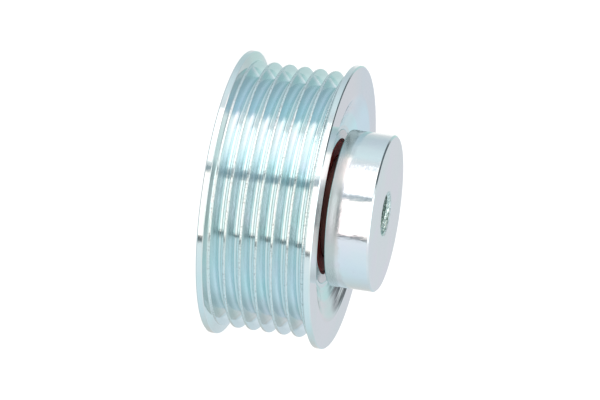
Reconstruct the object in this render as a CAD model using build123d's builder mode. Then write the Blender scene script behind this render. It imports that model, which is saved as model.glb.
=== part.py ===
from build123d import *
import os
from math import cos, pi, radians, sin, sqrt, tan

os.makedirs("parts", exist_ok=True)

# Belt tensioner pulley: a turned steel pulley with six ribbed-belt grooves,
# running on two sealed ball bearings pressed side by side in its bore, on a
# turned hub whose face carries a threaded hole.
#
# Frame: millimetres, the spin axis is +Z, the origin is the centre of the back
# face that the pulley stands on, and the hub points up.

# ---------------------------------------------------------------- pulley body
width = 26.12              # back face to front face
flange_r = 32.35           # belt flanges, outer radius
rim_width = 1.47           # cylindrical rim of each flange
rib_count = 6
rib_pitch = 3.56           # ribbed-belt groove spacing
groove_half_angle = 20.0   # each flank leans this much from the radial plane
crest_r = 30.39            # top of the ribs and of the narrow lands
root_r = 27.0              # bottom of the grooves
crest_half = 0.28          # half of the crest before its corners are rounded
crest_fillet = 0.22
root_fillet = 0.24
rim_fillet = 0.22
face_chamfer = 0.25
mid_z = width / 2

dish_outer_r = 26.1        # edge of the dished recess in each face
dish_inner_r = 18.6
dish_depth = 2.5
dish_edge_fillet = 0.9
dish_root_fillet = 2.4

# ------------------------------------------------- bearings: 17 x 35 x 10 each
bearing_bore_r = 8.5
bearing_outer_r = 17.5
bearing_width = 10.0
bearing_rear_z = 3.6       # rear face of the rear bearing
bearing_mid_z = (bearing_rear_z + 0.5 * bearing_width,
                 bearing_rear_z + 1.5 * bearing_width)
bearing_front_z = bearing_rear_z + 2 * bearing_width
ring_corner = 0.35
ball_r = 2.381             # 4.762 mm balls
ball_count = 10
ball_circle_r = 13.0
ball_clearance = 0.04      # at the bottom of each raceway
race_groove_r = 2.476
outer_shoulder_r = 14.40
inner_shoulder_r = 11.45
seal_seat_r = 15.62
seal_mouth_r = 15.45
seal_seat_depth = 1.30
seal_gap = 0.09            # between the seal lip and the turning inner ring

shoulder_r = 15.85         # rear lip of the bore that the rear bearing sits on
shoulder_z = 2.45

# ------------------------------------------------------------------------ hub
hub_r = 17.89
hub_back_z = 25.82
hub_front_z = 35.96
hub_chamfer = 0.35
hub_back_fillet = 0.3
neck_r = 11.6              # covers the inner ring's face, clear of the seal lip below
journal_r = bearing_bore_r
journal_end_z = 1.2
journal_chamfer = 0.5
thread_minor_r = 4.25      # tapping hole of an M10 thread
thread_mouth_r = 5.4
thread_mouth_half_angle = 60.0   # 120 degree countersink
drill_end_z = 10.0         # end of the full-width drilling
drill_point_half_angle = 59.0

# ------------------------------------------------- retaining ring on the shaft
ring_groove_z0 = 2.50
ring_groove_z1 = bearing_rear_z
ring_groove_r = 8.10
ring_thickness = 1.0
ring_widest = 2.3          # radial width opposite the gap
ring_narrowest = 1.5
ring_lug_xy = (2.95, 9.6)  # centre of each lug, beside the gap
ring_lug_r = 1.72
ring_hole_r = 0.85
ring_gap_half = 1.35


def at_radius(sketch, r):
    """All corners of a profile that lie at one radius."""
    return sketch.vertices().filter_by(lambda v: abs(v.X - r) < 1e-4)


def corner(sketch, r, z):
    """The corner of a profile at this radius and height."""
    return sketch.vertices().filter_by(lambda v: abs(v.X - r) < 1e-4 and abs(v.Z - z) < 1e-4)


# ================================================================ pulley body
flank_run = (flange_r - crest_r) * tan(radians(groove_half_angle))
groove_top_half = rib_pitch / 2 - crest_half
groove_root_half = groove_top_half - (crest_r - root_r) * tan(radians(groove_half_angle))
groove_z = [mid_z + (k - (rib_count - 1) / 2) * rib_pitch for k in range(rib_count)]

outer_line = [(flange_r, 0), (flange_r, rim_width), (crest_r, rim_width + flank_run)]
for zc in groove_z:
    outer_line += [(crest_r, zc - groove_top_half), (root_r, zc - groove_root_half),
                   (root_r, zc + groove_root_half), (crest_r, zc + groove_top_half)]
outer_line += [(crest_r, width - rim_width - flank_run),
               (flange_r, width - rim_width), (flange_r, width)]

inner_line = [
    (dish_outer_r, width), (dish_inner_r, width - dish_depth),
    (bearing_outer_r, width - dish_depth),
    (bearing_outer_r, bearing_rear_z), (shoulder_r, bearing_rear_z),
    (shoulder_r, shoulder_z), (dish_inner_r, shoulder_z), (dish_outer_r, 0),
]

with BuildPart() as pulley_body:
    with BuildSketch(Plane.XZ) as pulley_profile:
        with BuildLine():
            Polyline(outer_line + inner_line, close=True)
        make_face()
        fillet(at_radius(pulley_profile.sketch, crest_r), crest_fillet)
        fillet(at_radius(pulley_profile.sketch, root_r), root_fillet)
        fillet(corner(pulley_profile.sketch, flange_r, rim_width)
               + corner(pulley_profile.sketch, flange_r, width - rim_width), rim_fillet)
        chamfer(corner(pulley_profile.sketch, flange_r, 0)
                + corner(pulley_profile.sketch, flange_r, width), face_chamfer)
        fillet(corner(pulley_profile.sketch, dish_outer_r, 0)
               + corner(pulley_profile.sketch, dish_outer_r, width), dish_edge_fillet)
        fillet(corner(pulley_profile.sketch, dish_inner_r, width - dish_depth)
               + corner(pulley_profile.sketch, dish_inner_r, shoulder_z), dish_root_fillet)
        chamfer(corner(pulley_profile.sketch, bearing_outer_r, width - dish_depth), 0.25)
        chamfer(corner(pulley_profile.sketch, shoulder_r, shoulder_z), 0.2)
    revolve(axis=Axis.Z)
pulley_body.part.label = "pulley_body"
export_step(pulley_body.part, "parts/pulley_body.step")

# ======================================================================== hub
drill_tip_z = drill_end_z - thread_minor_r / tan(radians(drill_point_half_angle))
mouth_depth = (thread_mouth_r - thread_minor_r) / tan(radians(thread_mouth_half_angle))
hub_line = [
    (0, journal_end_z), (journal_r, journal_end_z),
    (journal_r, ring_groove_z0), (ring_groove_r, ring_groove_z0),
    (ring_groove_r, ring_groove_z1), (journal_r, ring_groove_z1),
    (journal_r, bearing_front_z), (neck_r, bearing_front_z),
    (neck_r, hub_back_z), (hub_r, hub_back_z),
    (hub_r, hub_front_z), (thread_mouth_r, hub_front_z),
    (thread_minor_r, hub_front_z - mouth_depth),
    (thread_minor_r, drill_end_z), (0, drill_tip_z),
]
with BuildPart() as hub:
    with BuildSketch(Plane.XZ) as hub_profile:
        with BuildLine():
            Polyline(hub_line, close=True)
        make_face()
        chamfer(corner(hub_profile.sketch, journal_r, journal_end_z), journal_chamfer)
        chamfer(corner(hub_profile.sketch, hub_r, hub_front_z), hub_chamfer)
        fillet(corner(hub_profile.sketch, hub_r, hub_back_z), hub_back_fillet)
        fillet(corner(hub_profile.sketch, neck_r, hub_back_z), 0.4)
    revolve(axis=Axis.Z)
    # centre-drill mark of the turning centre, in the rear end of the journal
    with BuildSketch(Plane.XZ) as centre_mark:
        with BuildLine():
            Polyline((0, journal_end_z), (1.6, journal_end_z), (0.8, journal_end_z + 1.385),
                     (0.8, journal_end_z + 2.4), (0, journal_end_z + 2.9), close=True)
        make_face()
    revolve(axis=Axis.Z, mode=Mode.SUBTRACT)
hub.part.label = "hub"
export_step(hub.part, "parts/hub.step")

# ============================================================== bearing rings
outer_race_r = ball_circle_r + ball_r + ball_clearance       # raceway bottoms
inner_race_r = ball_circle_r - ball_r - ball_clearance
outer_arc_r = outer_race_r - race_groove_r                   # arc centres
inner_arc_r = inner_race_r + race_groove_r
outer_arc_z = sqrt(race_groove_r ** 2 - (outer_shoulder_r - outer_arc_r) ** 2)
inner_arc_z = sqrt(race_groove_r ** 2 - (inner_arc_r - inner_shoulder_r) ** 2)
half = bearing_width / 2
seat_z = half - seal_seat_depth

for side, z0 in zip(("rear", "front"), bearing_mid_z):
    name = side + "_outer_ring"
    with BuildPart() as outer_ring:
        with BuildSketch(Plane.XZ) as outer_ring_profile:
            with BuildLine():
                Polyline((outer_shoulder_r, z0 + outer_arc_z), (outer_shoulder_r, z0 + seat_z),
                         (seal_seat_r, z0 + seat_z), (seal_seat_r, z0 + half - 0.45),
                         (seal_mouth_r, z0 + half - 0.30), (seal_mouth_r + 0.12, z0 + half),
                         (bearing_outer_r, z0 + half), (bearing_outer_r, z0 - half),
                         (seal_mouth_r + 0.12, z0 - half), (seal_mouth_r, z0 - half + 0.30),
                         (seal_seat_r, z0 - half + 0.45), (seal_seat_r, z0 - seat_z),
                         (outer_shoulder_r, z0 - seat_z), (outer_shoulder_r, z0 - outer_arc_z))
                ThreePointArc((outer_shoulder_r, z0 - outer_arc_z), (outer_race_r, z0),
                              (outer_shoulder_r, z0 + outer_arc_z))
            make_face()
            fillet(corner(outer_ring_profile.sketch, bearing_outer_r, z0 + half)
                   + corner(outer_ring_profile.sketch, bearing_outer_r, z0 - half), ring_corner)
        revolve(axis=Axis.Z)
    outer_ring.part.label = name
    export_step(outer_ring.part, "parts/" + name + ".step")

    name = side + "_inner_ring"
    with BuildPart() as inner_ring:
        with BuildSketch(Plane.XZ) as inner_ring_profile:
            with BuildLine():
                Polyline((inner_shoulder_r, z0 - inner_arc_z), (inner_shoulder_r, z0 - half),
                         (bearing_bore_r, z0 - half), (bearing_bore_r, z0 + half),
                         (inner_shoulder_r, z0 + half), (inner_shoulder_r, z0 + inner_arc_z))
                ThreePointArc((inner_shoulder_r, z0 + inner_arc_z), (inner_race_r, z0),
                              (inner_shoulder_r, z0 - inner_arc_z))
            make_face()
            fillet(corner(inner_ring_profile.sketch, bearing_bore_r, z0 + half)
                   + corner(inner_ring_profile.sketch, bearing_bore_r, z0 - half), ring_corner)
            chamfer(corner(inner_ring_profile.sketch, inner_shoulder_r, z0 + half)
                    + corner(inner_ring_profile.sketch, inner_shoulder_r, z0 - half), 0.2)
        revolve(axis=Axis.Z)
    inner_ring.part.label = name
    export_step(inner_ring.part, "parts/" + name + ".step")

    # ------------------------------------------------------------------- balls
    for k in range(ball_count):
        turn = 2 * pi * k / ball_count
        name = side + "_ball_" + str(k + 1).zfill(2)
        with BuildPart() as ball:
            with Locations((ball_circle_r * cos(turn), ball_circle_r * sin(turn), z0)):
                Sphere(ball_r)
        ball.part.label = name
        export_step(ball.part, "parts/" + name + ".step")

    # ------------------------------------------------- cage: moulded crown cage
    # its ring lies on the side away from the other bearing, and its fingers
    # reach between the balls and snap over them
    way = 1 if side == "front" else -1
    cage_in_r, cage_out_r = 11.85, 14.02
    cage_back, cage_tip = 3.15 * way, -1.35 * way
    name = side + "_cage"
    with BuildPart() as cage:
        with BuildSketch(Plane.XY.offset(z0 + min(cage_back, cage_tip))):
            Circle(cage_out_r)
            Circle(cage_in_r, mode=Mode.SUBTRACT)
        extrude(amount=abs(cage_back - cage_tip))
        with PolarLocations(ball_circle_r, ball_count):
            with Locations((0, 0, z0)):
                Sphere(ball_r + 0.16, mode=Mode.SUBTRACT)
        # relief slot in each finger, so that it can spring open over the ball
        with PolarLocations(ball_circle_r, ball_count, start_angle=180 / ball_count):
            with Locations((0, 0, z0 - 0.4 * way)):
                Box(4, 0.9, 2.2, mode=Mode.SUBTRACT)
    cage.part.label = name
    export_step(cage.part, "parts/" + name + ".step")

    # ------------------------------- seals: rubber moulded on a stiffening disc
    for face, out in (("outer", way), ("inner", -way)):
        def seal_z(depth):
            # height of a point this far below the bearing's face
            return z0 + out * (half - depth)

        name = side + "_bearing_" + face + "_seal"
        lip_r = inner_shoulder_r + seal_gap
        with BuildPart() as seal:
            with BuildSketch(Plane.XZ) as seal_profile:
                with BuildLine():
                    Polyline((seal_mouth_r - 0.05, seal_z(0.14)), (seal_mouth_r - 0.05, seal_z(0.32)),
                             (seal_seat_r - 0.03, seal_z(0.56)),
                             (seal_seat_r - 0.03, seal_z(1.24)), (14.6, seal_z(1.24)),
                             (14.2, seal_z(0.98)), (12.4, seal_z(0.98)),
                             (12.0, seal_z(1.28)), (lip_r, seal_z(1.28)),
                             (lip_r, seal_z(0.42)), (11.78, seal_z(0.13)),
                             (14.55, seal_z(0.13)),
                             (14.75, seal_z(0.34)), (15.05, seal_z(0.34)),
                             (15.2, seal_z(0.14)), close=True)
                make_face()
            revolve(axis=Axis.Z)
        seal.part.label = name
        export_step(seal.part, "parts/" + name + ".step")

# ==================================================== retaining ring on the shaft
# Spring steel, with two pierced lugs at its gap; it is widest opposite the gap.
with BuildPart() as shaft_ring:
    with BuildSketch(Plane.XY.offset(ring_groove_z1 - ring_thickness)):
        ring_outer_r = ring_groove_r + (ring_widest + ring_narrowest) / 2
        with Locations((0, -(ring_widest - ring_narrowest) / 2)):
            Circle(ring_outer_r)
        with Locations((-ring_lug_xy[0], ring_lug_xy[1]), ring_lug_xy):
            Circle(ring_lug_r)
        with Locations((0, 9.0)):
            Rectangle(2 * ring_lug_xy[0], 2.2)
        Circle(ring_groove_r, mode=Mode.SUBTRACT)
        with Locations((0, 9.5)):
            Rectangle(2 * ring_gap_half, 6.0, mode=Mode.SUBTRACT)
        with Locations((-ring_lug_xy[0], ring_lug_xy[1] + 0.1), (ring_lug_xy[0], ring_lug_xy[1] + 0.1)):
            Circle(ring_hole_r, mode=Mode.SUBTRACT)
    extrude(amount=ring_thickness)
shaft_ring.part.label = "shaft_retaining_ring"
export_step(shaft_ring.part, "parts/shaft_retaining_ring.step")
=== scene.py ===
import math

import bpy
import numpy as np
from mathutils import Matrix, Vector


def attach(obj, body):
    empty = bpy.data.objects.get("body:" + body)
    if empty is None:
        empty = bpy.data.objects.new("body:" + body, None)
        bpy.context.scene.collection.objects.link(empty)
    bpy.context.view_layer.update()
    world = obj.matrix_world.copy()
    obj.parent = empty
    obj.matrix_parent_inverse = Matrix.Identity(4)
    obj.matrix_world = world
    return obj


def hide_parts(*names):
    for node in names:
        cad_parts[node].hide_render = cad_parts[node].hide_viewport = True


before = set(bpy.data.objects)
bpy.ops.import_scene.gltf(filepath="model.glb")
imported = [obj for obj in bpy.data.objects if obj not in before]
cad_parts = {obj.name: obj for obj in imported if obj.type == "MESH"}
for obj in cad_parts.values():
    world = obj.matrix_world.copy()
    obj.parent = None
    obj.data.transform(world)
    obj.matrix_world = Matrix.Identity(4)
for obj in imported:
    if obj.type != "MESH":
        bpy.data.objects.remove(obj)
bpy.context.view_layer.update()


scene = bpy.context.scene
MM = 0.001

# ------------------------------------------------------------------ camera
# The photograph's camera: long lens, 11.2 degrees above the face plane of the
# pulley, rolled so that the spin axis runs across the picture.
FOCAL_PX = 5112.2
AX, AY = 0.1957, 0.1420
TX, TY, TZ = -15.51, -1.93, 1160.86
axis_c = Vector((math.cos(AY) * math.cos(AX), math.sin(AY), -math.cos(AY) * math.sin(AX)))
row_x_c = Vector((0, 0, 1)).cross(axis_c).normalized()
row_y_c = axis_c.cross(row_x_c).normalized()
right = Vector((row_x_c.x, row_y_c.x, axis_c.x))
down = Vector((row_x_c.y, row_y_c.y, axis_c.y))
ahead = Vector((row_x_c.z, row_y_c.z, axis_c.z))
place = -(right * TX + down * TY + ahead * TZ) * MM
cam_data = bpy.data.cameras.new("camera")
cam_data.sensor_fit = "HORIZONTAL"
cam_data.sensor_width = 36.0
cam_data.lens = FOCAL_PX * 36.0 / 600.0
cam_data.clip_start = 0.05
cam_data.clip_end = 30.0
camera = bpy.data.objects.new("camera", cam_data)
scene.collection.objects.link(camera)
camera.matrix_world = Matrix((
    (right.x, -down.x, -ahead.x, place.x),
    (right.y, -down.y, -ahead.y, place.y),
    (right.z, -down.z, -ahead.z, place.z),
    (0, 0, 0, 1)))
scene.camera = camera


# ------------------------------------------------------------------ node help
class Shader:
    """A node tree with short ways to add nodes and sums."""

    def __init__(self, tree):
        self.tree = tree
        self.nodes = tree.nodes
        self.links = tree.links
        for n in list(self.nodes):
            self.nodes.remove(n)

    def add(self, kind, **settings):
        n = self.nodes.new(kind)
        for k, v in settings.items():
            setattr(n, k, v)
        return n

    def put(self, socket, value):
        if isinstance(value, bpy.types.NodeSocket):
            self.links.new(value, socket)
        else:
            socket.default_value = value

    def math(self, op, a, b=0.0, c=0.0, clamp=False):
        n = self.add("ShaderNodeMath", operation=op, use_clamp=clamp)
        self.put(n.inputs[0], a)
        self.put(n.inputs[1], b)
        self.put(n.inputs[2], c)
        return n.outputs[0]

    def vmath(self, op, a, b=(0, 0, 0), scale=None):
        n = self.add("ShaderNodeVectorMath", operation=op)
        self.put(n.inputs[0], a)
        if op == "SCALE":
            self.put(n.inputs["Scale"], scale)
        else:
            self.put(n.inputs[1], b)
        return n.outputs["Value"] if op in ("LENGTH", "DOT_PRODUCT", "DISTANCE") else n.outputs["Vector"]

    def xyz(self, v):
        n = self.add("ShaderNodeSeparateXYZ")
        self.put(n.inputs[0], v)
        return n.outputs[0], n.outputs[1], n.outputs[2]

    def vec(self, x, y, z):
        n = self.add("ShaderNodeCombineXYZ")
        self.put(n.inputs[0], x)
        self.put(n.inputs[1], y)
        self.put(n.inputs[2], z)
        return n.outputs[0]

    def noise(self, vector, scale, detail=2.0, rough=0.5, distortion=0.0, dims="3D", out="Fac"):
        n = self.add("ShaderNodeTexNoise", noise_dimensions=dims)
        self.put(n.inputs["Vector"], vector)
        n.inputs["Scale"].default_value = scale
        n.inputs["Detail"].default_value = detail
        n.inputs["Roughness"].default_value = rough
        n.inputs["Distortion"].default_value = distortion
        return n.outputs[out]

    def ramp(self, fac, stops, mode="LINEAR"):
        n = self.add("ShaderNodeValToRGB")
        n.color_ramp.interpolation = mode
        el = n.color_ramp.elements
        while len(el) > 1:
            el.remove(el[-1])
        for i, (pos, col) in enumerate(stops):
            e = el[0] if i == 0 else el.new(pos)
            e.position = pos
            if isinstance(col, (int, float)):
                col = (col, col, col)
            e.color = (col[0], col[1], col[2], 1)
        self.put(n.inputs[0], fac)
        return n.outputs[0]

    def remap(self, v, a, b, c, d, smooth=False):
        n = self.add("ShaderNodeMapRange", clamp=True)
        if smooth:
            n.interpolation_type = "SMOOTHSTEP"
        self.put(n.inputs["Value"], v)
        for key, val in zip(("From Min", "From Max", "To Min", "To Max"), (a, b, c, d)):
            self.put(n.inputs[key], val)
        return n.outputs["Result"]

    def mix(self, fac, a, b, blend="MIX"):
        n = self.add("ShaderNodeMix", data_type="RGBA", blend_type=blend)
        self.put(n.inputs[0], fac)
        for socket, value in ((n.inputs[6], a), (n.inputs[7], b)):
            if isinstance(value, tuple) and len(value) == 3:
                value = (*value, 1)
            self.put(socket, value)
        return n.outputs[2]

    def bump(self, height, distance, strength=1.0, normal=None):
        n = self.add("ShaderNodeBump")
        self.put(n.inputs["Height"], height)
        n.inputs["Distance"].default_value = distance
        n.inputs["Strength"].default_value = strength
        if normal is not None:
            self.put(n.inputs["Normal"], normal)
        return n.outputs[0]


def material(name):
    m = bpy.data.materials.new(name)
    m.use_nodes = True
    s = Shader(m.node_tree)
    out = s.add("ShaderNodeOutputMaterial")
    p = s.add("ShaderNodeBsdfPrincipled")
    s.links.new(p.outputs[0], out.inputs[0])
    return m, s, p


# ------------------------------------------------------------------ world light
# A soft light tent, seen by direction only. The turn goes round the spin axis
# from the camera's side towards the top of the picture, and the height is the
# angle above the pulley's own plane. Two large white panels stand in front and
# above, a narrow seam parts them, and the tent's opening for the camera is dim.
world = bpy.data.worlds.new("light_tent")
world.use_nodes = True
scene.world = world
w = Shader(world.node_tree)
coord = w.add("ShaderNodeTexCoord")
dx, dy, dz = w.xyz(coord.outputs["Generated"])
angle = w.math("ARCTAN2", w.math("MULTIPLY", dx, -1.0), w.math("MULTIPLY", dy, -1.0))
turn = w.math("ADD", w.math("DIVIDE", angle, 2 * math.pi), 0.5)
height = w.math("MULTIPLY", w.math("ARCSINE", dz), 180.0 / math.pi)


def belt(*stops):
    """The tent's colours round the axis at one height: (degrees, colour)."""
    return w.ramp(turn, [(deg / 360.0 + 0.5, col) for deg, col in stops])


FRONT = (1.48, 1.36, 1.28)
TOP = (1.62, 1.62, 1.58)
SEAM = (0.27, 0.35, 0.38)
SEAM_LOW = (0.07, 0.10, 0.11)
DIM = (0.27, 0.295, 0.28)
below = belt(
    (-180, (0.68, 0.67, 0.68)), (-165, (0.61, 0.60, 0.58)), (-150, (0.59, 0.61, 0.60)), (-132, (0.60, 0.68, 0.70)),
    (-116, (0.62, 0.75, 0.80)), (-92, (0.67, 0.81, 0.86)), (-68, (0.72, 0.83, 0.87)), (-50, (0.79, 0.87, 0.89)),
    (-45, (0.78, 0.85, 0.87)), (-42.4, SEAM_LOW), (-40.2, SEAM_LOW), (-38.8, FRONT), (11.4, FRONT), (14.8, SEAM),
    (18.6, SEAM), (23.4, TOP), (66, TOP), (70.5, (0.76, 0.80, 0.81)), (84, (0.75, 0.84, 0.87)),
    (100, (0.67, 0.78, 0.82)), (116, (0.56, 0.66, 0.70)), (132, (0.52, 0.62, 0.65)), (148, (0.53, 0.65, 0.67)),
    (162, (0.66, 0.73, 0.74)), (180, (0.68, 0.67, 0.68)))
at_hub = belt(
    (-180, (0.80, 0.79, 0.79)), (-173, (0.95, 0.93, 0.92)), (-164, (0.68, 0.68, 0.67)), (-150, (0.62, 0.65, 0.66)),
    (-132, (0.60, 0.68, 0.71)), (-116, (0.63, 0.75, 0.80)), (-92, (0.68, 0.81, 0.86)), (-68, (0.74, 0.84, 0.88)),
    (-50, (0.80, 0.88, 0.90)), (-45, (0.79, 0.86, 0.88)), (-42.8, (0.28, 0.31, 0.33)), (-39.9, (0.28, 0.31, 0.33)),
    (-38.5, FRONT), (11.4, FRONT), (14.4, (0.62, 0.68, 0.72)), (17.6, (0.52, 0.58, 0.64)), (19.4, (0.66, 0.74, 0.80)),
    (22.2, TOP), (57, TOP), (60.5, (0.66, 0.76, 0.81)), (74, (0.61, 0.70, 0.76)), (84, (0.72, 0.83, 0.88)),
    (100, (0.68, 0.76, 0.80)), (116, (0.59, 0.67, 0.72)), (130, (0.55, 0.63, 0.675)), (143, (0.66, 0.71, 0.73)),
    (153, (0.76, 0.76, 0.78)), (160, (0.98, 0.98, 0.97)), (172, (1.08, 1.06, 1.04)), (180, (0.80, 0.79, 0.79)))
middle = belt(
    (-180, (0.69, 0.69, 0.71)), (-168, (0.63, 0.61, 0.60)), (-156, (0.58, 0.57, 0.55)), (-132, (0.60, 0.65, 0.67)),
    (-103, (0.70, 0.79, 0.83)), (-84, (0.79, 0.86, 0.89)), (-56, (0.84, 0.86, 0.85)), (-46, (0.80, 0.80, 0.77)),
    (-41, DIM), (6, DIM), (12, (0.36, 0.37, 0.35)), (22, (0.34, 0.36, 0.34)),
    (28, (0.66, 0.65, 0.64)), (34, (1.24, 1.14, 1.08)), (48, (1.80, 1.45, 1.34)),
    (62, (2.00, 1.54, 1.42)), (76, (2.00, 1.54, 1.42)), (81, (0.84, 0.94, 0.97)), (100, (0.74, 0.88, 0.94)),
    (116, (0.50, 0.63, 0.68)), (134, (0.44, 0.57, 0.61)), (155, (0.42, 0.60, 0.59)), (164, (0.53, 0.71, 0.70)),
    (172, (0.61, 0.76, 0.76)), (180, (0.69, 0.69, 0.71)))
LEVEL_FAR = ((-180, (0.68, 0.69, 0.725)), (-173, (0.68, 0.76, 0.81)), (-165, (0.65, 0.72, 0.76)),
             (-132, (0.60, 0.63, 0.65)), (-103, (0.76, 0.80, 0.82)), (-84, (0.80, 0.84, 0.85)))
LEVEL_TOP = ((86, (0.70, 0.74, 0.76)), (100, (0.67, 0.74, 0.78)), (116, (0.56, 0.65, 0.70)), (130, (0.50, 0.60, 0.64)),
             (148, (0.46, 0.60, 0.61)), (164, (0.55, 0.73, 0.71)), (173, (0.62, 0.76, 0.76)),
             (178, (0.68, 0.69, 0.725)), (180, (0.68, 0.69, 0.725)))
lift = belt(
    *LEVEL_FAR, (-56, (0.76, 0.77, 0.74)), (-50, (0.74, 0.74, 0.70)), (-42, (0.42, 0.45, 0.44)),
    (-37, (1.12, 1.08, 1.02)), (11, (1.06, 1.02, 0.97)), (15, (0.36, 0.42, 0.44)), (22, (0.36, 0.42, 0.44)),
    (28, (0.66, 0.68, 0.68)), (34, (1.20, 1.12, 1.06)), (44, (1.95, 1.52, 1.42)), (80, (2.05, 1.56, 1.45)), *LEVEL_TOP)
level = belt(
    *LEVEL_FAR, (-56, (0.76, 0.74, 0.69)), (-40, (0.72, 0.69, 0.64)), (-31, (0.30, 0.32, 0.31)), (-3, (0.24, 0.27, 0.27)),
    (8, (0.50, 0.52, 0.51)), (24, (0.66, 0.66, 0.65)), (32, (0.84, 0.84, 0.83)), (42, (1.40, 1.30, 1.22)),
    (76, (1.46, 1.32, 1.24)), *LEVEL_TOP)
above = belt(
    (-180, (0.69, 0.82, 0.87)), (-160, (0.72, 0.84, 0.90)), (-145, (0.60, 0.68, 0.70)), (-120, (0.74, 0.82, 0.85)), (-84, (0.82, 0.89, 0.90)),
    (-60, (0.82, 0.84, 0.83)), (-46, (0.70, 0.70, 0.67)), (-30, (0.60, 0.58, 0.55)), (0, (0.53, 0.53, 0.50)),
    (12, (0.42, 0.43, 0.41)), (26, (0.52, 0.54, 0.53)), (35, (1.32, 1.26, 1.20)), (81, (1.42, 1.30, 1.22)),
    (88, (0.60, 0.73, 0.80)), (98, (0.58, 0.72, 0.79)), (112, (0.53, 0.66, 0.71)), (136, (0.58, 0.64, 0.66)),
    (158, (0.68, 0.72, 0.73)), (172, (0.68, 0.78, 0.81)), (180, (0.68, 0.80, 0.84)))
crown = belt(
    (-180, (0.62, 0.68, 0.70)), (-110, (0.70, 0.76, 0.77)), (-60, (1.20, 1.22, 1.20)), (-30, (1.70, 1.70, 1.66)), (20, (1.70, 1.70, 1.66)),
    (50, (0.70, 0.72, 0.74)), (70, (0.50, 0.54, 0.56)), (84, (0.17, 0.21, 0.23)), (122, (0.17, 0.21, 0.23)), (140, (0.50, 0.56, 0.58)),
    (180, (0.62, 0.68, 0.70)))
deep = belt(
    (-180, (0.60, 0.63, 0.65)), (-100, (0.62, 0.74, 0.79)), (-60, (0.72, 0.82, 0.85)), (-44, (0.74, 0.80, 0.81)),
    (-36, (1.10, 1.06, 1.00)), (10, (1.04, 1.00, 0.95)), (15, (0.36, 0.42, 0.44)), (20, (0.36, 0.42, 0.44)),
    (25, (1.35, 1.30, 1.25)), (62, (1.35, 1.30, 1.25)), (74, (0.50, 0.58, 0.61)), (96, (0.44, 0.53, 0.56)), (130, (0.52, 0.58, 0.61)),
    (180, (0.60, 0.63, 0.65)))
tent = w.mix(w.remap(height, -10.9, -10.5, 0.0, 1.0), below, at_hub)
tent = w.mix(w.remap(height, -9.2, -7.6, 0.0, 1.0, smooth=True), tent, middle)
tent = w.mix(w.remap(height, -5.6, -2.8, 0.0, 1.0, smooth=True), tent, lift)
tent = w.mix(w.remap(height, 6.5, 9.5, 0.0, 1.0, smooth=True), tent, level)
tent = w.mix(w.remap(height, 14.0, 26.0, 0.0, 1.0, smooth=True), tent, above)
# the upper panel's inner corner is cut off at a slant
slant = w.ramp(turn, [(0.5 + d / 360.0, v) for d, v in ((35, 0.0), (60, 0.45), (80, 0.80), (86, 0.80), (92, 0.0))])
cut = w.remap(w.math("ADD", height, w.math("MULTIPLY", slant, 10.0)), 45.3, 47.3, 0.0, 1.0, smooth=True)
cut = w.math("MULTIPLY", cut, w.ramp(turn, [(0.5 + d / 360.0, v) for d, v in ((22, 0), (30, 1), (86, 1), (92, 0))]))
tent = w.mix(cut, tent, (0.74, 0.79, 0.79))
tent = w.mix(w.remap(height, 45.0, 58.0, 0.0, 1.0, smooth=True), tent, crown)
cap = belt(
    (-180, (0.66, 0.71, 0.72)), (-115, (0.66, 0.71, 0.72)), (-80, (1.75, 1.75, 1.70)), (50, (1.75, 1.75, 1.70)),
    (76, (0.62, 0.67, 0.69)), (180, (0.66, 0.71, 0.72)))
tent = w.mix(w.remap(height, 62.0, 72.0, 0.0, 1.0, smooth=True), tent, cap)
tent = w.mix(w.remap(height, -34.0, -18.0, 1.0, 0.0, smooth=True), tent, deep)
tent = w.mix(w.remap(height, -78.0, -50.0, 0.55, 0.0, smooth=True), tent, (0.55, 0.60, 0.62))
# a small lamp high in front
lamp = w.math("MULTIPLY", w.remap(angle, math.radians(-42), math.radians(-34), 0.0, 1.0, smooth=True),
              w.remap(angle, math.radians(24), math.radians(32), 1.0, 0.0, smooth=True))
lamp = w.math("MULTIPLY", lamp, w.remap(height, 57.0, 60.0, 0.0, 1.0, smooth=True))
lamp = w.math("MULTIPLY", lamp, w.remap(height, 68.0, 71.0, 1.0, 0.0, smooth=True))
tent = w.mix(lamp, tent, (3.0, 3.0, 2.95))
# a narrow dark arc, from high above down to the far side, draws the thin line along the turned edges
fall = w.math("SUBTRACT", 59.0, w.math("MULTIPLY", w.math("SUBTRACT", w.math("MULTIPLY", angle, 180.0 / math.pi), 98.0), 0.76))
arc = w.remap(w.math("ABSOLUTE", w.math("SUBTRACT", height, fall)), 3.5, 6.5, 1.0, 0.0, smooth=True)
arc = w.math("MULTIPLY", arc, w.ramp(turn, [(0.5 + d / 360.0, v) for d, v in ((78, 0), (90, 1), (138, 1), (150, 0))]))
tent = w.mix(w.math("MULTIPLY", arc, 0.92), tent, (0.08, 0.10, 0.11))
# a duller patch low behind
patch = w.math("MULTIPLY", w.ramp(turn, [(0.5 + d / 360.0, v) for d, v in ((134, 0), (144, 1), (156, 1), (163, 0))]),
               w.remap(height, -14.5, -12.7, 1.0, 0.0, smooth=True))
patch = w.math("MULTIPLY", patch, w.remap(height, -27.0, -21.0, 0.0, 1.0, smooth=True))
tent = w.mix(patch, tent, w.mix(1.0, tent, (0.80, 0.92, 0.90), "MULTIPLY"))
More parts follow.
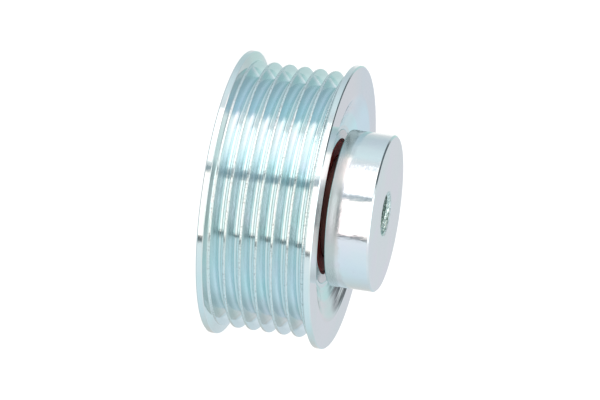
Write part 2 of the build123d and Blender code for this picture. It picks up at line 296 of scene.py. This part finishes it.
# a small dark card low on the far side
card = w.math("MULTIPLY", w.remap(angle, math.radians(164.5), math.radians(168.5), 0.0, 1.0, smooth=True),
              w.remap(angle, math.radians(174), math.radians(177), 1.0, 0.0, smooth=True))
card = w.math("MULTIPLY", card, w.remap(height, 17.0, 29.0, 0.0, 1.0, smooth=True))
card = w.math("MULTIPLY", card, w.remap(height, 40.0, 46.0, 1.0, 0.0, smooth=True))
tent = w.mix(w.math("MULTIPLY", card, 0.9), tent, (0.08, 0.09, 0.10))
path = w.add("ShaderNodeLightPath")
shade = w.mix(path.outputs["Is Camera Ray"], tent, (1.0, 1.0, 1.0))
background = w.add("ShaderNodeBackground")
w.put(background.inputs["Color"], shade)
background.inputs["Strength"].default_value = 1.0
w_out = w.add("ShaderNodeOutputWorld")
w.links.new(background.outputs[0], w_out.inputs[0])
world.cycles.sampling_method = "MANUAL"
world.cycles.sample_map_resolution = 2048


# ------------------------------------------------------------------ lathe help
def rounded(points):
    """Profile from corners (r, z, radius of the rounding, steps): a list of (r, z, normal before, normal after)."""
    pts = [np.array(p[:2], float) for p in points]
    n = len(pts)
    out = []

    def norm(a, b):
        d = b - a
        d /= np.linalg.norm(d)
        return np.array([d[1], -d[0]])

    for i, p in enumerate(points):
        rad = p[2] if len(p) > 2 else 0.0
        steps = p[3] if len(p) > 3 else 6
        a, b, c = pts[i - 1], pts[i], pts[(i + 1) % n]
        if OPEN and (i == 0 or i == n - 1):
            m = norm(b, c) if i == 0 else norm(a, b)
            out.append((b[0], b[1], m, m))
            continue
        na, nc = norm(a, b), norm(b, c)
        if rad <= 0:
            out.append((b[0], b[1], na, nc))
            continue
        u = (a - b) / np.linalg.norm(a - b)
        v = (c - b) / np.linalg.norm(c - b)
        half = math.acos(max(-1, min(1, float(u @ v)))) / 2
        t = rad / math.tan(half)
        start = b + u * t
        bis = (u + v) / np.linalg.norm(u + v)
        centre = b + bis * rad / math.sin(half)
        a0 = start - centre
        a1 = b + v * t - centre
        ang0 = math.atan2(a0[1], a0[0])
        turn_by = math.atan2(a0[0] * a1[1] - a0[1] * a1[0], float(a0 @ a1))
        sign = 1.0 if float((a0 / rad) @ na) > 0 else -1.0
        for k in range(steps + 1):
            q = ang0 + turn_by * k / steps
            d = np.array([math.cos(q), math.sin(q)])
            out.append((centre[0] + rad * d[0], centre[1] + rad * d[1], sign * d, sign * d))
    return out


OPEN = False


def lathe(name, profile, segments, closed=True, extra_rows=None):
    """Turns a profile in millimetres round the Z axis. The normals are the profile's own, so a rounding stays round."""
    rows = list(profile)
    count = len(rows)
    arc = [0.0]
    for i in range(1, count + (1 if closed else 0)):
        a, b = rows[i - 1], rows[i % count]
        arc.append(arc[-1] + math.hypot(b[0] - a[0], b[1] - a[1]))
    ang = np.arange(segments) * 2 * math.pi / segments
    verts, index = [], []
    for r, z, _, _ in rows:
        if r < 1e-6:
            index.append([len(verts)] * segments)
            verts.append((0.0, 0.0, z * MM))
        else:
            base = len(verts)
            index.append(list(range(base, base + segments)))
            for q in ang:
                verts.append((r * math.cos(q) * MM, r * math.sin(q) * MM, z * MM))
    faces, normals, uvs = [], [], []
    last = count if closed else count - 1
    for i in range(last):
        k = (i + 1) % count
        n0, n1 = rows[i][3], rows[k][2]
        for j in range(segments):
            jj = (j + 1) % segments
            q0, q1 = ang[j], ang[j] + 2 * math.pi / segments
            corners = [(index[i][j], n0, q0, j / segments, arc[i]),
                       (index[i][jj], n0, q1, (j + 1) / segments, arc[i]),
                       (index[k][jj], n1, q1, (j + 1) / segments, arc[i + 1]),
                       (index[k][j], n1, q0, j / segments, arc[i + 1])]
            if index[i][j] == index[i][jj]:
                corners = corners[:1] + corners[2:]
            elif index[k][j] == index[k][jj]:
                corners = corners[:3]
            faces.append([c[0] for c in corners])
            for _, n, q, u, v in corners:
                normals.append((n[0] * math.cos(q), n[0] * math.sin(q), n[1]))
                uvs.append((u, v * 0.01))
    mesh = bpy.data.meshes.new(name)
    mesh.from_pydata(verts, [], faces)
    mesh.polygons.foreach_set("use_smooth", [True] * len(mesh.polygons))
    layer = mesh.uv_layers.new(name="turned")
    layer.data.foreach_set("uv", np.array(uvs, np.float32).ravel())
    mesh.update()
    mesh.normals_split_custom_set(normals)
    obj = bpy.data.objects.new(name, mesh)
    scene.collection.objects.link(obj)
    return obj


# ------------------------------------------------------------------ materials
WIDTH, FLANGE_R, RIM = 26.12, 32.35, 1.47
CREST_R, ROOT_R, PITCH, CREST_HALF = 30.39, 27.0, 3.56, 0.28


def zinc(name, tint_a, tint_b, tint_c, rough=0.10, ripple=1.0, groove=1.0, seed=0.0, places=None):
    """Turned steel under a bright zinc plate with a clear blue passivate, which takes another tint in some places."""
    m, s, p = material(name)
    tc = s.add("ShaderNodeTexCoord")
    mm = s.vmath("SCALE", tc.outputs["Object"], scale=1000.0)
    shifted = s.vmath("ADD", mm, (seed, seed * 0.7, -seed))
    uv = s.xyz(tc.outputs["UV"])
    px, py, pz = s.xyz(mm)
    radius = s.math("MAXIMUM", s.vmath("LENGTH", s.vec(px, py, 0.0)), 0.05)
    cx, cy = s.math("DIVIDE", px, radius), s.math("DIVIDE", py, radius)
    geo = s.add("ShaderNodeNewGeometry")
    up = s.xyz(geo.outputs["Normal"])[2]
    facing = s.math("ABSOLUTE", up)
    level_face = s.remap(facing, 0.80, 0.97, 0.0, 1.0, smooth=True)     # 1 on the flat end faces
    along = s.math("MULTIPLY", uv[1], 100.0)            # millimetres along the turned profile

    def round_noise(around, across, detail, shift=0.0, rough_=0.5, distortion=0.0):
        v = s.vec(s.math("MULTIPLY", cx, around), s.math("MULTIPLY", cy, around),
                  s.math("ADD", s.math("MULTIPLY", along, across), shift))
        return s.noise(v, 1.0, detail, rough_, distortion)

    # the turning lines: long round the part, fine along it
    lines = round_noise(2.2, 5.0, 3.0, seed, 0.6)
    fine = round_noise(7.0, 11.0, 2.0, seed + 40.0)
    # slow unevenness of the turned surface, which frays the edges of reflections
    wander = round_noise(9.0, 0.22, 2.0, seed + 80.0)
    fray = round_noise(24.0, 1.6, 2.0, seed + 120.0)
    # the plating's own slight orange peel
    peel = s.noise(shifted, 1.15, 3.0, 0.55)
    broad = s.noise(shifted, 0.11, 3.0, 0.55, 0.6)
    hue = s.noise(s.vmath("ADD", shifted, (31.0, 7.0, 3.0)), 0.085, 2.0, 0.5, 0.8)
    col = s.ramp(hue, [(0.30, tint_a), (0.50, tint_b), (0.68, tint_c)])
    col = s.mix(s.remap(broad, 0.35, 0.7, 0.0, 0.35), col, tint_a)
    dull = None
    if places:
        worn = s.noise(s.vec(s.math("MULTIPLY", cx, 120.0), s.math("MULTIPLY", cy, 120.0), s.math("MULTIPLY", along, 4.5)),
                       1.0, 1.0, 0.5)
        worn = s.remap(worn, 0.56, 0.66, 0.0, 1.0, smooth=True)
        col, dull = places(s, col, radius, pz, level_face, cx, cy, worn, up)
    # small flecks where the plate is stained
    cell = s.add("ShaderNodeTexVoronoi", feature="F1")
    s.put(cell.inputs["Vector"], shifted)
    cell.inputs["Scale"].default_value = 0.42
    cell.inputs["Randomness"].default_value = 1.0
    speck = s.remap(cell.outputs["Distance"], 0.035, 0.075, 1.0, 0.0, smooth=True)
    keep = s.remap(s.xyz(cell.outputs["Color"])[0], 0.80, 0.84, 0.0, 1.0)
    speck = s.math("MULTIPLY", speck, keep)
    col = s.mix(s.math("MULTIPLY", speck, 0.45), col, (0.34, 0.38, 0.40))
    s.put(p.inputs["Base Color"], col)
    p.inputs["Metallic"].default_value = 1.0
    rgh = s.math("ADD", s.remap(lines, 0.3, 0.7, rough - 0.02 * groove, rough + 0.03 * groove),
                 s.remap(broad, 0.3, 0.7, -0.01, 0.02))
    rgh = s.math("ADD", rgh, s.math("MULTIPLY", speck, 0.2))
    if dull is not None:
        rgh = s.math("ADD", rgh, dull)
    s.put(p.inputs["Roughness"], rgh)
    calm = s.remap(level_face, 0.0, 1.0, 1.0, 0.12)
    n = s.bump(s.math("MULTIPLY", wander, calm), 6.0e-5 * ripple)
    n = s.bump(s.math("MULTIPLY", fray, calm), 1.0e-5 * ripple, normal=n)
    n = s.bump(lines, 1.6e-6 * groove, normal=n)
    n = s.bump(fine, 0.7e-6 * groove, normal=n)
    n = s.bump(peel, 3.0e-6, normal=n)
    n = s.bump(speck, -4.0e-6, normal=n)
    rough_cut = s.noise(mm, 1.7, 1.0, 0.5)              # the tap leaves the thread rougher
    in_bore = s.math("MULTIPLY", s.remap(radius, 5.0, 5.35, 1.0, 0.0), s.remap(pz, 8.0, 9.0, 0.0, 1.0))
    n = s.bump(s.math("MULTIPLY", rough_cut, in_bore), 3.0e-4, normal=n)
    # the dish shows the slow waves of its turning
    wave = s.math("COSINE", s.math("MULTIPLY", s.math("SUBTRACT", radius, 21.7), 2 * math.pi / 3.4))
    wave = s.math("ADD", wave, s.math("MULTIPLY", s.noise(s.vec(radius, s.math("MULTIPLY", cx, 1.5), s.math("MULTIPLY", cy, 1.5)), 1.5, 2.0, 0.6), 1.6))
    hollow = s.math("MULTIPLY", s.remap(radius, 18.4, 19.4, 0.0, 1.0, smooth=True), s.remap(radius, 25.4, 26.2, 1.0, 0.0, smooth=True))
    n = s.bump(s.math("MULTIPLY", wave, hollow), 3.2e-5, normal=n)
    s.put(p.inputs["Normal"], n)
    return m


def drum_places(s, col, radius, pz, level_face, cx, cy, worn, up):
    """Painted shade in the grooves: darker, bluer groove bottoms, darker still on the half nearer the hub, darker rib
    sides near their tops, most on the sides facing the front, and darker undersides of the rib tops; also worn rib tops
    and a faint lavender on the end faces.
    """
    inside = s.math("MULTIPLY", s.remap(pz, 1.45, 1.65, 0.0, 1.0), s.remap(pz, 24.47, 24.67, 1.0, 0.0))
    # painted shade: the groove bottoms are darker and bluer
    bottom = s.math("MULTIPLY", inside, s.remap(radius, 27.08, 27.5, 1.0, 0.0, smooth=True))
    # painted shade: the half of each groove bottom nearer the hub is darker
    turn_in = s.math("MULTIPLY", s.math("FRACT", s.math("DIVIDE", s.math("SUBTRACT", pz, WIDTH / 2 - 3 * PITCH), PITCH)), PITCH)
    half = s.math("MULTIPLY", s.remap(turn_in, 1.74, 1.92, 0.0, 1.0), s.remap(turn_in, 2.15, 2.30, 1.0, 0.0))
    half = s.math("MULTIPLY", inside, s.math("MULTIPLY", half, s.remap(radius, 27.4, 27.8, 1.0, 0.0)))
    col = s.mix(half, col, s.mix(1.0, col, (0.89, 0.91, 0.915), "MULTIPLY"))
    # painted shade: the rib sides near their tops are darker, most where they face the front
    side = s.math("MULTIPLY", s.remap(radius, 28.3, 29.3, 0.0, 1.0, smooth=True),
                  s.remap(radius, 30.2, 30.3, 1.0, 0.0))
    side = s.math("MULTIPLY", s.math("MULTIPLY", inside, side), s.remap(up, -0.2, 0.2, 0.25, 1.0))
    top = s.math("MULTIPLY", s.remap(radius, 30.20, 30.32, 0.0, 1.0), s.remap(radius, 30.42, 30.46, 1.0, 0.0))
    top = s.math("MULTIPLY", inside, top)
    rim = s.math("SUBTRACT", 1.0, inside)
    foot = s.math("MULTIPLY", s.remap(radius, 27.1, 27.35, 0.0, 1.0), s.remap(radius, 27.8, 28.4, 1.0, 0.0, smooth=True))
    foot = s.math("MULTIPLY", inside, foot)
    col = s.mix(foot, col, s.mix(1.0, col, (1.045, 1.025, 1.035), "MULTIPLY"))
    col = s.mix(bottom, col, s.mix(1.0, col, (0.845, 0.915, 0.915), "MULTIPLY"))
    col = s.mix(side, col, s.mix(1.0, col, (0.85, 0.865, 0.87), "MULTIPLY"))
    col = s.mix(top, col, s.mix(1.0, col, (0.935, 0.95, 0.945), "MULTIPLY"))
    # painted shade: the underside of each rib top, facing the back, is darker
    under = s.math("MULTIPLY", top, s.remap(up, -0.30, -0.04, 1.0, 0.0))
    col = s.mix(under, col, s.mix(1.0, col, (0.74, 0.78, 0.78), "MULTIPLY"))
    flank = s.math("MULTIPLY", s.remap(radius, 30.45, 30.6, 0.0, 1.0), s.remap(radius, 32.1, 32.2, 1.0, 0.0))
    flank = s.math("MULTIPLY", flank, s.math("MULTIPLY", s.remap(pz, 1.4, 1.5, 0.0, 1.0), s.remap(pz, 2.3, 2.6, 1.0, 0.0)))
    col = s.mix(flank, col, s.mix(1.0, col, (0.89, 0.87, 0.85), "MULTIPLY"))
    col = s.mix(rim, col, s.mix(1.0, col, (1.0, 0.975, 0.965), "MULTIPLY"))
    face = s.math("MULTIPLY", rim, level_face)
    col = s.mix(face, col, s.mix(1.0, col, (0.985, 0.945, 0.96), "MULTIPLY"))
    dish = s.math("MULTIPLY", rim, s.remap(radius, 25.9, 26.3, 1.0, 0.0, smooth=True))
    col = s.mix(dish, col, s.mix(1.0, col, (0.985, 0.93, 0.93), "MULTIPLY"))
    sector = s.math("ADD", s.math("MULTIPLY", cx, -0.94), s.math("MULTIPLY", cy, 0.342))
    sector = s.math("MULTIPLY", face, s.remap(sector, 0.80, 0.98, 0.0, 1.0, smooth=True))
    col = s.mix(sector, col, s.mix(1.0, col, (0.93, 0.995, 1.04), "MULTIPLY"))
    col = s.mix(s.math("MULTIPLY", top, worn), col, s.mix(1.0, col, (0.56, 0.58, 0.58), "MULTIPLY"))
    return col, s.math("MULTIPLY", top, 0.04)


def hub_places(s, col, radius, pz, level_face, cx, cy, worn, up):
    """The hub's side is rougher near its back edge and painted darker and greener there as shade, with a painted shadow
    along the back edge; the neck is rougher and painted dark red-brown as shade and as a reflection of the seal; the
    thread is a darker teal; the face turns from a faint green to lavender."""
    side = s.remap(radius, 17.3, 17.6, 0.0, 1.0)
    # painted shade: the hub's side is darker and greener near its back edge; it is also rougher there
    band = s.math("MULTIPLY", s.remap(pz, 27.9, 28.7, 1.0, 0.0, smooth=True), side)
    col = s.mix(band, col, s.mix(1.0, col, (0.79, 0.835, 0.81), "MULTIPLY"))
    # painted shadow: a dark line along the back edge of the hub's side, where it meets the gap
    edge = s.math("MULTIPLY", s.remap(pz, 25.95, 26.12, 1.0, 0.0), side)
    col = s.mix(edge, col, s.mix(1.0, col, (0.40, 0.44, 0.43), "MULTIPLY"))
    # painted shade: the neck in the gap beside the seal is painted dark red-brown, with the seal's colour as a painted
    # reflection; it is also rougher
    neck = s.math("MULTIPLY", s.remap(pz, 25.75, 25.81, 1.0, 0.0), s.remap(radius, 11.2, 11.4, 0.0, 1.0))
    neck = s.math("MULTIPLY", neck, s.remap(radius, 12.2, 12.3, 1.0, 0.0))
    col = s.mix(neck, col, (0.20, 0.085, 0.075))
    face = s.math("MULTIPLY", level_face, s.remap(pz, 35.9, 35.95, 0.0, 1.0))
    green = s.math("MULTIPLY", face, s.remap(s.math("MULTIPLY", cy, radius), -2.0, -13.0, 0.0, 1.0, smooth=True))
    col = s.mix(green, col, s.mix(1.0, col, (0.955, 1.03, 1.005), "MULTIPLY"))
    bore = s.math("MULTIPLY", s.remap(radius, 5.0, 5.3, 1.0, 0.0), s.remap(pz, 8.0, 9.0, 0.0, 1.0))
    col = s.mix(bore, col, s.mix(1.0, col, (0.96, 1.0, 0.97), "MULTIPLY"))
    burr = s.noise(s.vec(s.math("MULTIPLY", cx, 9.0), s.math("MULTIPLY", cy, 9.0), s.math("MULTIPLY", pz, 2.6)), 1.0, 2.0, 0.6)
    burr = s.math("MULTIPLY", bore, s.remap(burr, 0.50, 0.56, 0.0, 1.0, smooth=True))
    col = s.mix(burr, col, s.mix(1.0, col, (0.60, 0.66, 0.64), "MULTIPLY"))
    return col, s.math("ADD", s.math("MULTIPLY", band, 0.16), s.math("MULTIPLY", neck, 0.35))


zinc_drum = zinc("zinc_drum", (0.80, 0.935, 0.945), (0.84, 0.935, 0.958), (0.865, 0.93, 0.965), 0.075, 0.8, 1.0, 0.0,
                 drum_places)
zinc_hub = zinc("zinc_hub", (0.82, 0.92, 0.92), (0.86, 0.915, 0.935), (0.885, 0.885, 0.95), 0.09, 0.8, 0.8, 17.0,
                hub_places)


def plain_steel(name, base, rough, scale=3.0):
    m, s, p = material(name)
    tc = s.add("ShaderNodeTexCoord")
    mm = s.vmath("SCALE", tc.outputs["Object"], scale=1000.0)
    px, py, pz = s.xyz(mm)
    radius = s.vmath("LENGTH", s.vec(px, py, 0.0))
    lines = s.noise(s.vec(radius, s.math("MULTIPLY", pz, 1.0), 0.0), 9.0, 2.0, 0.5)
    cloud = s.noise(mm, scale * 0.1, 3.0)
    s.put(p.inputs["Base Color"], s.mix(s.remap(cloud, 0.3, 0.7, 0.0, 1.0), base, tuple(c * 0.86 for c in base)))
    p.inputs["Metallic"].default_value = 1.0
    s.put(p.inputs["Roughness"], s.remap(lines, 0.3, 0.7, rough * 0.8, rough * 1.25))
    s.put(p.inputs["Normal"], s.bump(lines, 1.0e-6))
    return m


bearing_steel = plain_steel("bearing_steel", (0.72, 0.73, 0.74), 0.16)
spring_steel = plain_steel("spring_steel", (0.20, 0.20, 0.215), 0.34)


def rubber(name, base, dark):
    m, s, p = material(name)
    tc = s.add("ShaderNodeTexCoord")
    mm = s.vmath("SCALE", tc.outputs["Object"], scale=1000.0)
    grain = s.noise(mm, 6.0, 4.0, 0.6)
    cloud = s.noise(mm, 0.5, 3.0, 0.5)
    s.put(p.inputs["Base Color"], s.mix(s.remap(cloud, 0.3, 0.7, 0.0, 1.0), base, dark))
    s.put(p.inputs["Roughness"], s.remap(grain, 0.3, 0.7, 0.42, 0.58))
    p.inputs["Specular IOR Level"].default_value = 0.03
    s.put(p.inputs["Normal"], s.bump(grain, 6.0e-6))
    return m


seal_rubber = rubber("seal_rubber", (0.34, 0.040, 0.034), (0.27, 0.031, 0.026))


def polyamide(name):
    m, s, p = material(name)
    tc = s.add("ShaderNodeTexCoord")
    mm = s.vmath("SCALE", tc.outputs["Object"], scale=1000.0)
    grain = s.noise(mm, 4.0, 4.0, 0.6)
    s.put(p.inputs["Base Color"], s.mix(s.remap(grain, 0.3, 0.7, 0.0, 1.0), (0.62, 0.55, 0.42), (0.52, 0.46, 0.35)))
    s.put(p.inputs["Roughness"], s.remap(grain, 0.3, 0.7, 0.45, 0.6))
    s.put(p.inputs["Normal"], s.bump(grain, 4.0e-6))
    return m


cage_plastic = polyamide("cage_polyamide")


# ------------------------------------------------------------------ pulley body
TAN20 = math.tan(math.radians(20.0))
DISH_OUT, DISH_IN, DISH_DEPTH = 26.1, 18.6, 2.5
BEAR_OUT, BEAR_REAR, SHOULDER_R, SHOULDER_Z = 17.5, 3.6, 15.85, 2.45
flank_run = (FLANGE_R - CREST_R) * TAN20
top_half = PITCH / 2 - CREST_HALF
root_half = top_half - (CREST_R - ROOT_R) * TAN20
E = 0.05
corners = [(FLANGE_R - 0.25, 0, E, 3), (FLANGE_R, 0.25, E, 3), (FLANGE_R, RIM, 0.22, 6), (CREST_R, RIM + flank_run, 0.22, 5)]
for k in range(6):
    zc = WIDTH / 2 + (k - 2.5) * PITCH
    corners += [(CREST_R, zc - top_half, 0.20, 6), (ROOT_R, zc - root_half, 0.14, 6),
                (ROOT_R, zc + root_half, 0.12, 6), (CREST_R, zc + top_half, 0.20, 6)]
corners += [(CREST_R, WIDTH - RIM - flank_run, 0.22, 5), (FLANGE_R, WIDTH - RIM, 0.22, 6),
            (FLANGE_R, WIDTH - 0.25, E, 3), (FLANGE_R - 0.25, WIDTH, E, 3),
            (DISH_OUT, WIDTH, 0.9, 8), (DISH_IN, WIDTH - DISH_DEPTH, 2.4, 8),
            (BEAR_OUT + 0.25, WIDTH - DISH_DEPTH, E, 3), (BEAR_OUT, WIDTH - DISH_DEPTH - 0.25, E, 3),
            (BEAR_OUT, BEAR_REAR), (SHOULDER_R, BEAR_REAR), (SHOULDER_R, SHOULDER_Z + 0.2, E, 3),
            (SHOULDER_R + 0.2, SHOULDER_Z, E, 3), (DISH_IN, SHOULDER_Z, 2.4, 8), (DISH_OUT, 0, 0.9, 8)]
pulley = lathe("pulley_body_turned", rounded(corners), 288)
pulley.data.materials.append(zinc_drum)
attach(pulley, "pulley")
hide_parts("pulley_body")

# ------------------------------------------------------------------ hub
HUB_R, HUB_BACK, HUB_FRONT = 17.89, 25.82, 35.96
NECK_R, JOURNAL_R, JOURNAL_END, BEAR_FRONT = 11.6, 8.5, 1.2, 23.6
RING_R, RING_Z0, RING_Z1 = 8.10, 2.50, 3.6
MINOR_R, MAJOR_R, THREAD_PITCH, MOUTH_R, DRILL_END = 4.25, 4.97, 1.5, 5.4, 10.0
MOUTH_SLOPE = math.tan(math.radians(70.0))
THREAD_END = 13.0
OPEN = True
hub_corners = [(0, JOURNAL_END + 2.9), (0.8, JOURNAL_END + 2.4), (0.8, JOURNAL_END + 1.385), (1.6, JOURNAL_END, E, 2),
               (JOURNAL_R - 0.5, JOURNAL_END, E, 3), (JOURNAL_R, JOURNAL_END + 0.5, E, 3),
               (JOURNAL_R, RING_Z0), (RING_R, RING_Z0), (RING_R, RING_Z1), (JOURNAL_R, RING_Z1),
               (JOURNAL_R, BEAR_FRONT), (NECK_R, BEAR_FRONT), (NECK_R, HUB_BACK, 0.4, 4),
               (HUB_R, HUB_BACK, 0.3, 6), (HUB_R, HUB_FRONT - 0.35, 0.08, 4), (HUB_R - 0.35, HUB_FRONT, 0.08, 4),
               (MOUTH_R, HUB_FRONT)]
hub_profile = rounded(hub_corners)
OPEN = False


def thread_r(q, z):
    """Wall radius of a right-hand M10 thread at an angle and a height: crest, flank, root, flank over each pitch."""
    phase = (z / THREAD_PITCH - q / (2 * math.pi)) % 1.0
    d = abs(phase - 0.5) * 2.0                       # 0 at the groove's bottom, 1 at the crest
    return MAJOR_R - (MAJOR_R - MINOR_R) * min(1.0, max(0.0, (d - 0.14) / 0.62))


def hub_mesh(name, segments):
    outer = lathe(name, hub_profile, segments, closed=False)
    mesh = outer.data
    verts = [tuple(v.co) for v in mesh.vertices]
    faces = [tuple(p.vertices) for p in mesh.polygons]
    normals = [tuple(n.vector) for n in mesh.corner_normals]
    uvs = [tuple(d.uv) for d in mesh.uv_layers[0].data]
    first = len(verts) - segments                    # the mouth's ring of vertices
    arc = max(v for _, v in uvs)
    heights = list(np.arange(HUB_FRONT - 0.07, THREAD_END, -0.07)) + list(np.arange(THREAD_END, DRILL_END - 0.01, -0.6))
    ring = list(range(first, first + segments))
    rings, radii = [ring], [[MOUTH_R] * segments]
    zs = [HUB_FRONT]
    for z in heights:
        base = len(verts)
        rr = []
        for j in range(segments):
            q = j * 2 * math.pi / segments
            cone = MOUTH_R - (HUB_FRONT - z) * MOUTH_SLOPE
            run_out = min(1.0, max(0.0, (z - THREAD_END) / 1.2))
            r = MINOR_R + (thread_r(q, z) - MINOR_R) * run_out
            r = max(r, cone)
            rr.append(r)
            verts.append((r * math.cos(q) * MM, r * math.sin(q) * MM, z * MM))
        rings.append(list(range(base, base + segments)))
        radii.append(rr)
        zs.append(z)
    tip = len(verts)
    verts.append((0, 0, (DRILL_END - MINOR_R / math.tan(math.radians(59))) * MM))
    radii = np.array(radii)
    zs = np.array(zs)
    dz = np.gradient(radii, zs, axis=0)
    dq = (np.roll(radii, -1, 1) - np.roll(radii, 1, 1)) / (4 * math.pi / segments)

    def wall_normal(i, j):
        q = j * 2 * math.pi / segments
        n = np.array([-1.0, dq[i, j % segments] / radii[i, j % segments], dz[i, j % segments]])
        n /= np.linalg.norm(n)
        return (n[0] * math.cos(q) - n[1] * math.sin(q), n[0] * math.sin(q) + n[1] * math.cos(q), n[2])

    for i in range(len(rings) - 1):
        for j in range(segments):
            jj = (j + 1) % segments
            faces.append((rings[i][j], rings[i][jj], rings[i + 1][jj], rings[i + 1][j]))
            normals += [wall_normal(i, j), wall_normal(i, j + 1), wall_normal(i + 1, j + 1), wall_normal(i + 1, j)]
            v0, v1 = arc + (HUB_FRONT - zs[i]) * 0.01, arc + (HUB_FRONT - zs[i + 1]) * 0.01
            uvs += [(j / segments, v0), ((j + 1) / segments, v0), ((j + 1) / segments, v1), (j / segments, v1)]
    for j in range(segments):
        jj = (j + 1) % segments
        faces.append((rings[-1][j], rings[-1][jj], tip))
        q = (j + 0.5) * 2 * math.pi / segments
        n = (-math.cos(q) * 0.515, -math.sin(q) * 0.515, 0.857)
        normals += [n, n, n]
        uvs += [(j / segments, 0.9), ((j + 1) / segments, 0.9), ((j + 0.5) / segments, 0.94)]
    bpy.data.objects.remove(outer)
    bpy.data.meshes.remove(mesh)
    mesh = bpy.data.meshes.new(name)
    mesh.from_pydata(verts, [], faces)
    mesh.polygons.foreach_set("use_smooth", [True] * len(mesh.polygons))
    layer = mesh.uv_layers.new(name="turned")
    layer.data.foreach_set("uv", np.array(uvs, np.float32).ravel())
    mesh.update()
    mesh.normals_split_custom_set(normals)
    obj = bpy.data.objects.new(name, mesh)
    scene.collection.objects.link(obj)
    return obj


hub = hub_mesh("hub_turned", 144)
hub.data.materials.append(zinc_hub)
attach(hub, "hub_side")
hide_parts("hub")

# ------------------------------------------------------------------ CAD nodes
for name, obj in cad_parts.items():
    if name in ("pulley_body", "hub"):
        continue
    if "seal" in name:
        mat = seal_rubber
    elif "cage" in name:
        mat = cage_plastic
    elif name == "shaft_retaining_ring":
        mat = spring_steel
    else:
        mat = bearing_steel
    if obj.material_slots:
        for slot in obj.material_slots:
            slot.material = mat
    else:
        obj.data.materials.append(mat)

# ------------------------------------------------------------------ floor
floor_mesh = bpy.data.meshes.new("floor")
F = 6.0
floor_mesh.from_pydata([(-F, -F, 0), (F, -F, 0), (F, F, 0), (-F, F, 0)], [], [(0, 1, 2, 3)])
floor = bpy.data.objects.new("floor", floor_mesh)
scene.collection.objects.link(floor)
m, s, p = material("floor_paper")
tc = s.add("ShaderNodeTexCoord")
fibre = s.noise(s.vmath("SCALE", tc.outputs["Object"], scale=1000.0), 0.8, 3.0)
s.put(p.inputs["Base Color"], s.mix(s.remap(fibre, 0.3, 0.7, 0.0, 1.0), (0.38, 0.38, 0.38), (0.40, 0.40, 0.40)))
p.inputs["Roughness"].default_value = 0.9
p.inputs["Specular IOR Level"].default_value = 0.0
p.inputs["Emission Color"].default_value = (1, 1, 1, 1)
p.inputs["Emission Strength"].default_value = 0.76
floor_mesh.materials.append(m)
floor.visible_glossy = False
floor.visible_shadow = False

scene.view_settings.view_transform = "Standard"
scene.view_settings.look = "None"
scene.view_settings.exposure = 0.0
scene.view_settings.gamma = 1.0

bpy.context.view_layer.update()
